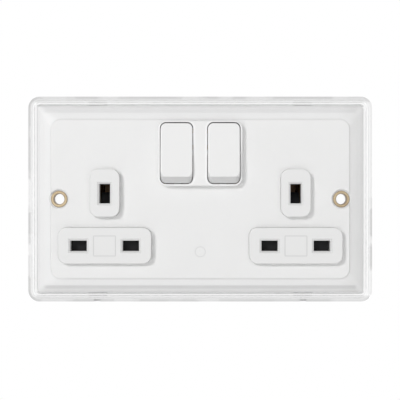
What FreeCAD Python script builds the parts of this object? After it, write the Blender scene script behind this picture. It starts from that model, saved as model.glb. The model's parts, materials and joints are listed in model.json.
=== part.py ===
"""Twin 13 A switched socket outlet with a clear clip-on frontplate, in millimetres.

The frame has X to the right, Z up and the front of the socket towards -Y. The wall is the plane Y = 0,
and the origin lies on it, halfway between the two fixing screws.
"""
import FreeCAD, Part
import math
import os
import re
import Sketcher

SIZES = {
    # fixing to the wall box
    "fixing_pitch": 120.6,
    "eyelet_bore": 4.5,
    "eyelet_tube": 5.9,
    "eyelet_flange": 7.1,
    "eyelet_flange_thickness": 0.5,
    "eyelet_notch_radius": 4.2,
    "eyelet_seat": 4.7,
    "eyelet_boss": 9.0,
    "eyelet_boss_rear": 1.0,
    "snug_gap": 0.05,
    # clear frontplate
    "cover_width": 147.0,
    "cover_height": 87.6,
    "cover_corner": 4.8,
    "cover_front": 8.4,
    "cover_face": 2.4,
    "cover_wall": 2.2,
    "cover_bevel_width": 5.7,
    "cover_bevel_depth": 3.5,
    "cover_gap": 0.25,
    "cover_edge_round": 0.5,
    "hook_offset": 44.0,
    "hook_width": 8.0,
    "hook_reach": 2.2,
    "hook_thickness": 1.0,
    "lever_notch_width": 2.6,
    "lever_notch_depth": 1.2,
    "lever_notch_height": 5.0,
    # white front moulding
    "base_width": 140.0,
    "base_height": 80.0,
    "base_corner": 1.5,
    "base_edge": 2.8,
    "shoulder_front": 5.3,
    "plateau_width": 127.5,
    "plateau_height": 68.0,
    "plateau_corner": 4.2,
    "plateau_front": 5.8,
    "pad_front": 9.4,
    "pad_corner": 3.7,
    "pad_edge_round": 0.4,
    "hollow_depth": 3.4,
    "rim_wall": 2.5,
    "hollow_inset": 7.5,
    # pin openings
    "socket_pitch": 81.2,
    "pin_pitch": 22.2,
    "pin_row_drop": 19.9,
    "earth_rise": 2.3,
    "slot_width": 7.0,
    "slot_height": 4.5,
    "earth_slot_width": 4.6,
    "earth_slot_height": 8.3,
    "slot_lead_in": 0.85,
    "panel_width": 9.6,
    "panel_height": 8.8,
    "panel_groove": 0.3,
    "groove_depth": 0.15,
    "joint_overlap": 0.5,
    "rib_setback": 0.6,
    "rib_gap": 0.4,
    "guide_gap": 0.3,
    "guide_width": 1.2,
    "hook_play": 0.2,
    "head_gap": 0.3,
    "gate_mark": 4.6,
    "gate_drop": 22.5,
    "block_flange": 1.4,
    "block_flange_front": 4.6,
    "earth_pad_width": 12.7,
    "earth_pad_height": 20.4,
    "earth_pad_rise": 2.6,
    "power_pad_width": 39.7,
    "power_pad_height": 15.4,
    "power_pad_drop": 19.8,
    # switch pad and rockers
    "switch_pad_width": 35.8,
    "switch_pad_bottom": 5.5,
    "switch_pad_top": 33.3,
    "rocker_pitch": 20.1,
    "rocker_rise": 19.5,
    "rocker_width": 13.6,
    "rocker_end_radius": 12.9,
    "rocker_face": 3.7,
    "rocker_skirt": 3.0,
    "rocker_foot_height": 1.9,
    "rocker_foot_depth": 2.6,
    "rocker_tilt": 6.0,
    "rocker_wall": 1.5,
    "rocker_corner": 2.4,
    "rocker_edge_round": 0.5,
    "well_gap": 0.28,
    "collar_wall": 1.7,
    "pivot_depth": 7.4,
    "trunnion_diameter": 2.4,
    "trunnion_length": 0.5,
    "trunnion_end_gap": 0.1,
    "stem_width": 11.2,
    "stem_thickness": 4.8,
    "stem_reach": 10.6,
    "plunger_pitch": 6.4,
    "plunger_diameter": 3.0,
    "plunger_reach": 14.85,
    "plunger_length": 8.0,
    "plunger_bore_gap": 0.1,
    "plunger_bore_base": 2.2,
    "plunger_spring_wire": 0.4,
    "plunger_spring_turns": 4.0,
    # rocking contact arms
    "arm_depth": 8.0,
    "arm_tilt": 10.0,
    "arm_width": 3.6,
    "arm_thickness": 0.9,
    "arm_half_length": 8.2,
    "bead_radius": 0.95,
    "saddle_front": 8.8,
    "saddle_half_height": 1.3,
    "tip_radius": 1.2,
    "tip_height": 0.55,
    "tip_dome": 2.5,
    "tip_offset": 6.9,
    "tip_air_gap": 0.08,
    "fixed_tip_height": 0.5,
    # brass strips
    "strip_thickness": 0.8,
    "strip_width": 3.5,
    "strip_rear": 11.2,
    "outer_run_top": -4.0,
    "inner_run_top": -8.5,
    "outer_drop_place": 50.4,
    "jaw_thickness": 0.6,
    "jaw_gap": 3.4,
    "jaw_flare": 1.0,
    "jaw_flare_length": 2.0,
    "pin_jaw_front": 1.0,
    "pin_jaw_width": 6.0,
    "earth_jaw_front": 3.0,
    "earth_jaw_height": 8.0,
    "earth_strap_rear": 17.0,
    "earth_strap_height": 4.0,
    "earth_strap_fold": 47.8,
    "earth_ring_width": 9.2,
    "earth_leg_place": 3.5,
    "earth_leg_width": 3.2,
    "neutral_bar_top": 31.0,
    "neutral_bar_height": 2.0,
    "live_bar_top": 23.8,
    "live_bar_height": 2.0,
    "leg_place": 18.0,
    "leg_width": 3.0,
    "leg_rear": 14.0,
    # terminals
    "earth_terminal_place": 5.2,
    "power_terminal_place": 15.6,
    "terminal_width": 8.4,
    "terminal_top": -16.5,
    "terminal_bottom": -27.5,
    "terminal_front": 8.5,
    "terminal_rear": 17.5,
    "wire_hole": 5.0,
    "wire_hole_corner": 0.8,
    "wire_hole_depth": 11.8,
    "screw_shank": 3.5,
    "screw_head": 5.6,
    "screw_head_height": 1.6,
    "screw_head_gap": 0.2,
    "screw_reach": 3.2,
    "screw_slot": 0.8,
    # shutters
    "shutter_front": 3.2,
    "shutter_thickness": 2.0,
    "shutter_margin": 0.65,
    "shutter_foot": 1.15,
    "shutter_travel": 5.4,
    "shutter_arm_width": 4.4,
    "ramp_front": 3.0,
    "ramp_rear": 2.2,
    "ramp_width": 4.0,
    "ramp_lead": 0.4,
    "ramp_foot": 2.5,
    "shutter_spring_wire": 0.35,
    "shutter_spring_diameter": 2.4,
    "shutter_spring_turns": 6.0,
    "spring_ledge": -31.2,
    # rear housing
    "housing_rear": 21.0,
    "housing_top": 32.5,
    "housing_tower_width": 43.0,
    "housing_step": 12.0,
    "housing_middle_width": 108.8,
    "housing_waist": -9.0,
    "housing_foot_width": 118.0,
    "housing_bottom": -31.0,
    "housing_corner": 3.0,
    "chamber_half_width": 19.6,
    "chamber_top": 31.2,
    "chamber_bottom": -14.8,
    "pocket_gap": 0.2,
    "rib_width": 2.4,
    "divider_front": 4.6,
    "screw_hole_head": 7.0,
    "wire_entry": 5.4,
    # screws that hold the housing to the front moulding
    "lower_screw_place": 22.8,
    "lower_screw_height": -26.5,
    "upper_screw_place": 25.0,
    "upper_screw_height": 8.5,
    "housing_screw": 2.6,
    "housing_screw_hole": 2.9,
    "housing_screw_head": 4.8,
    "housing_screw_head_height": 1.4,
    "boss_diameter": 4.4,
}

doc = FreeCAD.newDocument("TwinSocket")
sheet = doc.addObject("Spreadsheet::Sheet", "Sizes")
for row, (alias, value) in enumerate(SIZES.items(), start=1):
    sheet.set(f"A{row}", str(value))
    sheet.setAlias(f"A{row}", alias)
doc.recompute()

PLANES = {"x": "YZ_Plane", "y": "XZ_Plane", "z": "XY_Plane"}
LEFT, RIGHT = -1, 1
SIDES = {"left": LEFT, "right": RIGHT}


def bound(text):
    """Turn size names in a formula into references to the sheet."""
    def reference(match):
        word = match.group(0)
        return f"Sizes.{word}" if word in SIZES else word
    return re.sub(r"[a-z][a-z_]+", reference, str(text))


def value_of(text):
    """The number that a formula on the sheet gives now."""
    return float(sheet.evalExpression(bound(text)))


def span(side, near, far):
    """The left and right ends of a stretch that lies between two distances from the middle."""
    if side == RIGHT:
        return near, far
    return f"-({far})", f"-({near})"


def centred(middle, width):
    return f"{middle} - ({width}) / 2", f"{middle} + ({width}) / 2"


def hold(sketch, kind, refs, formula):
    """Add a constraint whose value follows a formula on the sheet."""
    index = sketch.addConstraint(Sketcher.Constraint(kind, *refs, value_of(formula)))
    name = f"size{index}"
    sketch.renameConstraint(index, name)
    sketch.setExpression(f"Constraints.{name}", bound(f"0 + {formula}"))


def polygon(points):
    """A closed outline of straight edges through points given as pairs of formulas."""
    def draw(sketch):
        first = sketch.GeometryCount
        count = len(points)
        places = [FreeCAD.Vector(value_of(across), value_of(up), 0) for across, up in points]
        for index in range(count):
            line = Part.LineSegment(places[index], places[(index + 1) % count])
            sketch.addGeometry(line)
        for index in range(count):
            following = (index + 1) % count
            ends = (first + index, 2, first + following, 1)
            sketch.addConstraint(Sketcher.Constraint("Coincident", *ends))
        for index, (across, up) in enumerate(points):
            hold(sketch, "DistanceX", (-1, 1, first + index, 1), across)
            hold(sketch, "DistanceY", (-1, 1, first + index, 1), up)
    return draw


def rectangle(left, right, bottom, top):
    return polygon([(left, bottom), (right, bottom), (right, top), (left, top)])


def rounded(left, right, bottom, top, radius):
    """A rectangle with round corners."""
    def draw(sketch):
        first = sketch.GeometryCount
        west, east, south, north, corner = [
            value_of(formula) for formula in (left, right, bottom, top, radius)
        ]
        arcs = [
            (east - corner, south + corner, -90), (east - corner, north - corner, 0),
            (west + corner, north - corner, 90), (west + corner, south + corner, 180),
        ]
        ends = []
        for across, up, start in arcs:
            circle = Part.Circle(FreeCAD.Vector(across, up, 0), FreeCAD.Vector(0, 0, 1), corner)
            angles = math.radians(start), math.radians(start + 90)
            arc = Part.ArcOfCircle(circle, *angles)
            sketch.addGeometry(arc)
            ends.append((arc.StartPoint, arc.EndPoint))
        for index in range(4):
            sketch.addGeometry(Part.LineSegment(ends[index][1], ends[(index + 1) % 4][0]))
        for index in range(4):
            line, following = first + 4 + index, first + (index + 1) % 4
            sketch.addConstraint(Sketcher.Constraint("Tangent", first + index, 2, line, 1))
            sketch.addConstraint(Sketcher.Constraint("Tangent", line, 2, following, 1))
            kind = "Vertical" if index % 2 == 0 else "Horizontal"
            sketch.addConstraint(Sketcher.Constraint(kind, line))
            if index:
                sketch.addConstraint(Sketcher.Constraint("Equal", first, first + index))
        hold(sketch, "Radius", (first,), radius)
        hold(sketch, "DistanceX", (-1, 1, first + 4, 1), right)
        hold(sketch, "DistanceX", (-1, 1, first + 6, 1), left)
        hold(sketch, "DistanceY", (-1, 1, first + 5, 1), top)
        hold(sketch, "DistanceY", (-1, 1, first + 7, 1), bottom)
    return draw


def disc(across, up, diameter):
    def draw(sketch):
        index = sketch.GeometryCount
        middle = FreeCAD.Vector(value_of(across), value_of(up), 0)
        radius = value_of(diameter) / 2
        sketch.addGeometry(Part.Circle(middle, FreeCAD.Vector(0, 0, 1), radius))
        hold(sketch, "Diameter", (index,), diameter)
        hold(sketch, "DistanceX", (-1, 1, index, 3), across)
        hold(sketch, "DistanceY", (-1, 1, index, 3), up)
    return draw


def together(*drawings):
    def draw(sketch):
        for drawing in drawings:
            drawing(sketch)
    return draw


def new_body(name):
    body = doc.addObject("PartDesign::Body", name)
    body.Label = name
    return body


def sketch_at(body, axis, place, draw):
    """A sketch across one axis of the body, at a place along it."""
    sketch = body.newObject("Sketcher::SketchObject", f"{body.Name}_sketch")
    plane = next(item for item in body.Origin.OriginFeatures if item.Role == PLANES[axis])
    sketch.AttachmentSupport = [(plane, "")]
    sketch.MapMode = "FlatFace"
    offset = f"-({place})" if axis == "y" else f"0 + {place}"
    sketch.setExpression("AttachmentOffset.Base.z", bound(offset))
    draw(sketch)
    return sketch


def settle(feature):
    """Work the document out and stop if a feature failed."""
    doc.recompute()
    if "Invalid" in feature.State or "Error" in feature.State:
        raise RuntimeError(f"{feature.Name} failed: {feature.getStatusString()}")
    return feature


def add(body, axis, low, high, draw):
    """Add material between two places along an axis."""
    sketch = sketch_at(body, axis, high if axis == "y" else low, draw)
    pad = body.newObject("PartDesign::Pad", f"{body.Name}_pad")
    pad.Profile = sketch
    pad.setExpression("Length", bound(f"({high}) - ({low})"))
    return settle(pad)


def cut(body, axis, low, high, draw):
    """Take material away between two places along an axis."""
    before = body.Shape.Volume
    sketch = sketch_at(body, axis, low if axis == "y" else high, draw)
    pocket = body.newObject("PartDesign::Pocket", f"{body.Name}_pocket")
    pocket.Profile = sketch
    pocket.setExpression("Length", bound(f"({high}) - ({low})"))
    settle(pocket)
    if not body.Shape.Volume < before:
        raise RuntimeError(f"{pocket.Name} cuts nothing")
    return pocket


def slope(body, kind, axis, first, second):
    """A straight blend between two outlines, added to the body or taken away from it."""
    profile = sketch_at(body, axis, *first)
    section = sketch_at(body, axis, *second)
    loft = body.newObject(f"PartDesign::{kind}Loft", f"{body.Name}_loft")
    loft.Profile = profile
    loft.Sections = [section]
    loft.Ruled = True
    return settle(loft)


def turn(body, axis, along, outline):
    """A turned shape: an outline of (radius, distance) pairs round a line along Y through (x, z)."""
    across, up = axis
    sketch = body.newObject("Sketcher::SketchObject", f"{body.Name}_sketch")
    plane = next(item for item in body.Origin.OriginFeatures if item.Role == "XY_Plane")
    sketch.AttachmentSupport = [(plane, "")]
    sketch.MapMode = "FlatFace"
    sketch.setExpression("AttachmentOffset.Base.x", bound(f"0 + {across}"))
    sketch.setExpression("AttachmentOffset.Base.z", bound(f"0 + {up}"))
    sketch.setExpression("AttachmentOffset.Base.y", bound(f"0 + {along}"))
    polygon(outline)(sketch)
    turned = body.newObject("PartDesign::Revolution", f"{body.Name}_turned")
    turned.Profile = sketch
    turned.ReferenceAxis = (sketch, ["V_Axis"])
    turned.Angle = 360
    return settle(turned)


def edges_where(body, choose):
    return [
        f"Edge{index}" for index, edge in enumerate(body.Shape.Edges, start=1) if choose(edge)
    ]


def round_edges(body, radius, choose):
    """Round the edges of the body that a test picks."""
    names = edges_where(body, choose)
    if not names:
        raise RuntimeError(f"no edges to round on {body.Name}")
    base = body.Tip
    fillet = body.newObject("PartDesign::Fillet", f"{body.Name}_fillet")
    fillet.Base = (base, names)
    fillet.setExpression("Radius", bound(f"0 + {radius}"))
    return settle(fillet)


def bevel_edges(body, size, choose):
    """Bevel the edges of the body that a test picks."""
    names = edges_where(body, choose)
    if not names:
        raise RuntimeError(f"no edges to bevel on {body.Name}")
    base = body.Tip
    chamfer = body.newObject("PartDesign::Chamfer", f"{body.Name}_chamfer")
    chamfer.Base = (base, names)
    chamfer.setExpression("Size", bound(f"0 + {size}"))
    return settle(chamfer)


def lies_at(edge, axis, place):
    """Whether an edge lies wholly at one place along an axis."""
    box = edge.BoundBox
    low, high = {"x": (box.XMin, box.XMax), "y": (box.YMin, box.YMax), "z": (box.ZMin, box.ZMax)}[axis]
    return abs(low - place) < 0.01 and abs(high - place) < 0.01


def runs_along(edge, axis):
    """Whether an edge is straight and runs along an axis."""
    if edge.Curve.TypeId != "Part::GeomLine":
        return False
    direction = {"x": FreeCAD.Vector(1, 0, 0), "y": FreeCAD.Vector(0, 1, 0), "z": FreeCAD.Vector(0, 0, 1)}
    return abs(edge.Curve.Direction.dot(direction[axis])) > 0.999


def placed(item, across, depth, up, tilt):
    """Stand a piece that is drawn round its own pivot in its place, turned about X."""
    item.Placement = FreeCAD.Placement(
        FreeCAD.Vector(0, 0, 0), FreeCAD.Rotation(FreeCAD.Vector(1, 0, 0), 1)
    )
    item.setExpression("Placement.Base.x", bound(f"0 + {across}"))
    item.setExpression("Placement.Base.y", bound(f"0 + {depth}"))
    item.setExpression("Placement.Base.z", bound(f"0 + {up}"))
    item.setExpression("Placement.Rotation.Angle", bound(f"0 + {tilt}"))
    doc.recompute()


def coil(name, radius, wire, length, turns, placement):
    """A compression spring along Z: a six-sided wire swept along short straight steps of a helix."""
    steps_in_turn = 10
    sides = 6
    steps = int(round(turns * steps_in_turn))
    rise = (length - 2 * wire) / steps
    path = [
        FreeCAD.Vector(
            radius * math.cos(2 * math.pi * step / steps_in_turn),
            radius * math.sin(2 * math.pi * step / steps_in_turn),
            wire + rise * step,
        )
        for step in range(steps + 1)
    ]
    start = (path[1] - path[0]).normalize()
    outward = FreeCAD.Vector(1, 0, 0)
    upward = start.cross(outward).normalize()
    outward = upward.cross(start)
    ring = []
    for side in range(sides):
        angle = 2 * math.pi * side / sides
        ring.append(path[0] + outward * wire / 2 * math.cos(angle) + upward * wire / 2 * math.sin(angle))
    section = Part.makePolygon(ring + [ring[0]])
    spine = Part.makePolygon(path)
    spring = doc.addObject("Part::Feature", name)
    spring.Label = name
    spring.Shape = spine.makePipeShell([section], True, False, 1)
    spring.Placement = placement
    return spring


# Places that several pieces share, as formulas on the sheet.
fixing_place = "fixing_pitch / 2"
socket_place = "socket_pitch / 2"
inner_pin = "(socket_pitch / 2 - pin_pitch / 2)"
outer_pin = "(socket_pitch / 2 + pin_pitch / 2)"
inner_arm = "(rocker_pitch / 2 - plunger_pitch / 2)"
outer_arm = "(rocker_pitch / 2 + plunger_pitch / 2)"
strip_front = "(strip_rear - strip_thickness)"
dome_middle = "(arm_thickness / 2 + tip_height - tip_dome)"
closed_tip_depth = (
    f"(arm_depth + {dome_middle} * cos(arm_tilt * 1 deg) + tip_offset * sin(arm_tilt * 1 deg) + tip_dome)"
)
closed_tip_rise = (
    f"(rocker_rise - {dome_middle} * sin(arm_tilt * 1 deg) + tip_offset * cos(arm_tilt * 1 deg))"
)
ramp_low = "(earth_rise - earth_slot_height / 2 - ramp_lead)"
fixed_tip_front = f"({closed_tip_depth} + tip_air_gap)"
bar_front = f"({fixed_tip_front} + fixed_tip_height)"
bar_back = f"({bar_front} + strip_thickness)"


def clear_cover():
    """The transparent frontplate: a shallow tray that clips over the base, open round the pads."""
    body = new_body("clear_cover")
    edge = "(cover_front - cover_bevel_depth)"
    inner_edge = "(cover_front - cover_face - cover_bevel_depth * 0.8)"

    def tray(inset, corner):
        return rounded(
            f"-(cover_width / 2 - ({inset}))", f"cover_width / 2 - ({inset})",
            f"-(cover_height / 2 - ({inset}))", f"cover_height / 2 - ({inset})", corner,
        )
    add(body, "y", f"-{edge}", "0", tray("0", "cover_corner"))
    slope(
        body, "Additive", "y", (f"-{edge}", tray("0", "cover_corner")),
        ("-cover_front", tray("cover_bevel_width", "cover_corner * 0.6")),
    )
    cut(body, "y", f"-{inner_edge}", "0", tray("cover_wall", "cover_corner - cover_wall"))
    slope(
        body, "Subtractive", "y", (f"-{inner_edge}", tray("cover_wall", "cover_corner - cover_wall")),
        (
            "-(cover_front - cover_face)",
            tray("cover_wall + cover_bevel_width * 0.85", "cover_corner * 0.4"),
        ),
    )
    windows = pad_outlines("cover_gap")
    cut(body, "y", "-cover_front", "-(cover_front - cover_face)", windows)
    round_edges(body, "cover_edge_round", lambda edge: lies_at(edge, "y", -value_of("cover_front")))
    hooks = []
    notches = []
    for side in SIDES.values():
        left, right = span(side, "hook_offset - hook_width / 2", "hook_offset + hook_width / 2")
        for up in SIDES.values():
            wall_inside = "cover_height / 2 - cover_wall"
            low, high = span(up, f"{wall_inside} - hook_reach", wall_inside)
            hooks.append(rectangle(left, right, low, high))
        left, right = span(
            side, "hook_offset - lever_notch_width / 2", "hook_offset + lever_notch_width / 2"
        )
        notches.append(rectangle(left, right, "-cover_height", "-(cover_height / 2 - lever_notch_depth)"))
    add(body, "y", "-hook_thickness", "0", together(*hooks))
    cut(body, "y", "-lever_notch_height", "0", together(*notches))
    return body


def switch_pad(grow):
    """The outline of the raised pad round the two rockers, grown by a clearance."""
    return rounded(
        f"-(switch_pad_width / 2 + {grow})", f"switch_pad_width / 2 + {grow}",
        f"switch_pad_bottom - {grow}", f"switch_pad_top + {grow}", f"pad_corner + {grow}",
    )


def pin_pads(side, grow):
    """The outlines of one outlet's two raised pads, each grown by the same clearance."""
    outlines = []
    pads = [
        ("earth_pad_width", "earth_pad_rise", "earth_pad_height"),
        ("power_pad_width", "-power_pad_drop", "power_pad_height"),
    ]
    for width, middle, height in pads:
        left, right = centred(f"{side} * {socket_place}", f"{width} + 2 * ({grow})")
        low, high = centred(middle, f"{height} + 2 * ({grow})")
        outlines.append(rounded(left, right, low, high, f"pad_corner + {grow}"))
    return outlines


def pad_web(side, grow):
    """The outline of the web that joins one outlet's two pads behind the plateau."""
    left, right = centred(f"{side} * {socket_place}", f"earth_pad_width + 2 * ({grow})")
    return rectangle(
        left, right, "-power_pad_drop + power_pad_height / 2", "earth_pad_rise - earth_pad_height / 2"
    )


def pad_outlines(grow):
    """The outlines of the five raised pads of the front, each grown by the same clearance."""
    outlines = [switch_pad(grow)]
    for side in SIDES.values():
        outlines.extend(pin_pads(side, grow))
    return together(*outlines)


def pin_openings(side):
    """The three openings that take the pins of one plug."""
    outlines = []
    for offset in ("-pin_pitch / 2", "pin_pitch / 2"):
        left, right = centred(f"{side} * {socket_place} + {offset}", "slot_width")
        low, high = centred("-pin_row_drop", "slot_height")
        outlines.append(rectangle(left, right, low, high))
    left, right = centred(f"{side} * {socket_place}", "earth_slot_width")
    low, high = centred("earth_rise", "earth_slot_height")
    outlines.append(rectangle(left, right, low, high))
    return together(*outlines)


def pin_block(name, side):
    """One outlet's two pads with the pin openings, held in the base by a flange from behind."""
    body = new_body(name)
    add(body, "y", "-pad_front", "-hollow_depth", together(*pin_pads(side, "0")))
    pad_level = -value_of("pad_front")
    round_edges(body, "pad_edge_round", lambda edge: lies_at(edge, "y", pad_level))
    add(body, "y", "-block_flange_front", "-hollow_depth", pad_web(side, "0"))
    for flange in pin_pads(side, "block_flange"):
        add(body, "y", "-block_flange_front", "-hollow_depth", flange)
    guide_near = f"({socket_place} + pin_pitch / 2 + slot_width / 2 + shutter_margin + guide_gap)"
    left, right = span(side, guide_near, f"{guide_near} + guide_width")
    guide = rectangle(left, right, "-power_pad_drop - power_pad_height / 2", "-pin_row_drop + slot_height")
    add(body, "y", "-hollow_depth - joint_overlap", "-rib_setback", guide)
    cut(body, "y", "-pad_front", "-hollow_depth", pin_openings(side))
    middle = value_of(f"{side} * {socket_place}")

    def at_pin_opening(edge):
        centre = edge.BoundBox.Center
        if not lies_at(edge, "y", pad_level) or edge.Length > value_of("earth_slot_height") + 0.1:
            return False
        across = abs(centre.x - middle)
        at_earth = abs(centre.z - value_of("earth_rise")) < value_of("earth_slot_height") / 2 + 0.1
        at_pins = abs(centre.z + value_of("pin_row_drop")) < value_of("slot_height") / 2 + 0.1
        beside_pin = abs(across - value_of("pin_pitch") / 2) < value_of("slot_width") / 2 + 0.1
        return (at_earth and across < value_of("earth_slot_width") / 2 + 0.1) or (at_pins and beside_pin)
    bevel_edges(body, "slot_lead_in", at_pin_opening)
    left, right = centred(f"{side} * {socket_place}", "panel_width")
    low, high = centred("-pin_row_drop", "panel_height")
    inner_left, inner_right = centred(f"{side} * {socket_place}", "panel_width - 2 * panel_groove")
    inner_low, inner_high = centred("-pin_row_drop", "panel_height - 2 * panel_groove")
    frame = together(
        rectangle(left, right, low, high), rectangle(inner_left, inner_right, inner_low, inner_high)
    )
    cut(body, "y", "-pad_front", "-(pad_front - groove_depth)", frame)
    return body


SCREW_PLACES = [
    ("lower_screw_place", "lower_screw_height"),
    ("upper_screw_place", "upper_screw_height"),
]


def front_moulding():
    """The white moulded base: sloped shoulder, plateau, seats for the pin blocks and rocker wells."""
    body = new_body("front_moulding")

    def plate(inset_across, inset_up, corner):
        return rounded(
            f"-(base_width / 2 - ({inset_across}))", f"base_width / 2 - ({inset_across})",
            f"-(base_height / 2 - ({inset_up}))", f"base_height / 2 - ({inset_up})", corner,
        )
    plateau = plate(
        "(base_width - plateau_width) / 2", "(base_height - plateau_height) / 2", "plateau_corner"
    )
    add(body, "y", "-base_edge", "0", plate("0", "0", "base_corner"))
    slope(
        body, "Additive", "y", ("-base_edge", plate("0", "0", "base_corner")), ("-shoulder_front", plateau)
    )
    add(body, "y", "-plateau_front", "-shoulder_front", plateau)
    add(body, "y", "-pad_front", "-plateau_front", switch_pad("0"))
    round_edges(body, "pad_edge_round", lambda edge: lies_at(edge, "y", -value_of("pad_front")))
    slope(
        body, "Subtractive", "y", ("0", plate("rim_wall", "rim_wall", "base_corner")),
        ("-hollow_depth", plate("hollow_inset", "hollow_inset", "plateau_corner")),
    )
    notches = [
        disc(f"{side} * {fixing_place}", "0", "2 * eyelet_notch_radius") for side in SIDES.values()
    ]
    cut(body, "y", "-plateau_front - 1", "-eyelet_seat", together(*notches))

    bosses = [disc(f"{side} * {fixing_place}", "0", "eyelet_boss") for side in SIDES.values()]
    add(body, "y", "-eyelet_seat", "-eyelet_boss_rear", together(*bosses))
    screw_bosses = []
    screw_holes = []
    for side in SIDES.values():
        for across, up in SCREW_PLACES:
            screw_bosses.append(disc(f"{side} * {across}", up, "boss_diameter"))
            screw_holes.append(disc(f"{side} * {across}", up, "housing_screw"))
    add(body, "y", "-hollow_depth - joint_overlap", "0", together(*screw_bosses))

    well_half_width = "(rocker_pitch / 2 + rocker_width / 2 + well_gap)"
    well_half_height = "(rocker_end_radius + well_gap)"
    collar_side = f"({well_half_width} + collar_wall)"
    collar_low = f"(rocker_rise - {well_half_height} - collar_wall)"
    collar_high = f"(rocker_rise + {well_half_height} + collar_wall * 0.6)"
    add(
        body, "y", "-hollow_depth - joint_overlap", "0",
        rectangle(f"-{collar_side}", collar_side, collar_low, collar_high),
    )
    ledges = []
    for side in SIDES.values():
        left, right = centred(f"{side} * {socket_place}", "shutter_spring_diameter + 1.6")
        ledges.append(rectangle(left, right, "-base_height / 2 + rim_wall", "spring_ledge"))
    add(body, "y", "-hollow_depth - joint_overlap", "-rib_setback", together(*ledges))
    for side in SIDES.values():
        cut(body, "y", "-pad_front", "-hollow_depth", together(*pin_pads(side, "snug_gap")))
        rebate_front = "-(block_flange_front + snug_gap)"
        for flange in pin_pads(side, "block_flange + snug_gap"):
            cut(body, "y", rebate_front, "-hollow_depth", flange)
        cut(body, "y", rebate_front, "-hollow_depth", pad_web(side, "snug_gap"))
    wells = []
    for side in SIDES.values():
        left, right = centred(f"{side} * rocker_pitch / 2", "rocker_width + 2 * well_gap")
        low, high = centred("rocker_rise", f"2 * {well_half_height}")
        wells.append(rounded(left, right, low, high, "rocker_corner + well_gap"))
    cut(body, "y", "-pad_front", "0", together(*wells))
    trunnion_slots = []
    slot_width = "(trunnion_diameter + 2 * snug_gap)"
    reach = "(rocker_width / 2 + trunnion_length + trunnion_end_gap)"
    for side in SIDES.values():
        left, right = centred(f"{side} * rocker_pitch / 2", f"2 * {reach}")
        low, high = centred("rocker_rise", slot_width)
        trunnion_slots.append(rectangle(left, right, low, high))
    cut(body, "y", "-pivot_depth", "0", together(*trunnion_slots))
    for side in SIDES.values():
        left, right = centred(f"{side} * rocker_pitch / 2", f"2 * {reach}")
        cut(body, "x", left, right, disc("-pivot_depth", "rocker_rise", slot_width))

    gate = together(
        disc("0", "-gate_drop", "gate_mark"), disc("0", "-gate_drop", "gate_mark - 2 * panel_groove")
    )
    cut(body, "y", "-plateau_front", "-(plateau_front - groove_depth)", gate)
    bores = [
        disc(f"{side} * {fixing_place}", "0", "eyelet_tube + 2 * snug_gap") for side in SIDES.values()
    ]
    cut(body, "y", "-eyelet_seat - 1", "0", together(*bores))
    cut(body, "y", "-hollow_depth", "0", together(*screw_holes))
    rebates = []
    for side in SIDES.values():
        left, right = span(side, "hook_offset - hook_width / 2 - 1", "hook_offset + hook_width / 2 + 1")
        for up in SIDES.values():
            low, high = span(up, "cover_height / 2 - cover_wall - hook_reach - guide_gap", "base_height / 2 + 1")
            rebates.append(rectangle(left, right, low, high))
    cut(body, "y", "-(hook_thickness + hook_play)", "0", together(*rebates))
    return body


def fixing_eyelet(name, side):
    """A brass tube with a flared front that lines the fixing hole."""
    body = new_body(name)
    across = f"{side} * {fixing_place}"
    add(body, "y", "-eyelet_seat", "0", disc(across, "0", "eyelet_tube"))
    add(
        body, "y", "-(eyelet_seat + eyelet_flange_thickness)", "-eyelet_seat",
        disc(across, "0", "eyelet_flange"),
    )
    cut(body, "y", "-(eyelet_seat + eyelet_flange_thickness)", "0", disc(across, "0", "eyelet_bore"))
    mouth = value_of("eyelet_seat + eyelet_flange_thickness")
    round_edges(body, "eyelet_flange_thickness * 0.4", lambda edge: lies_at(edge, "y", -mouth))
    return body


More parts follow.
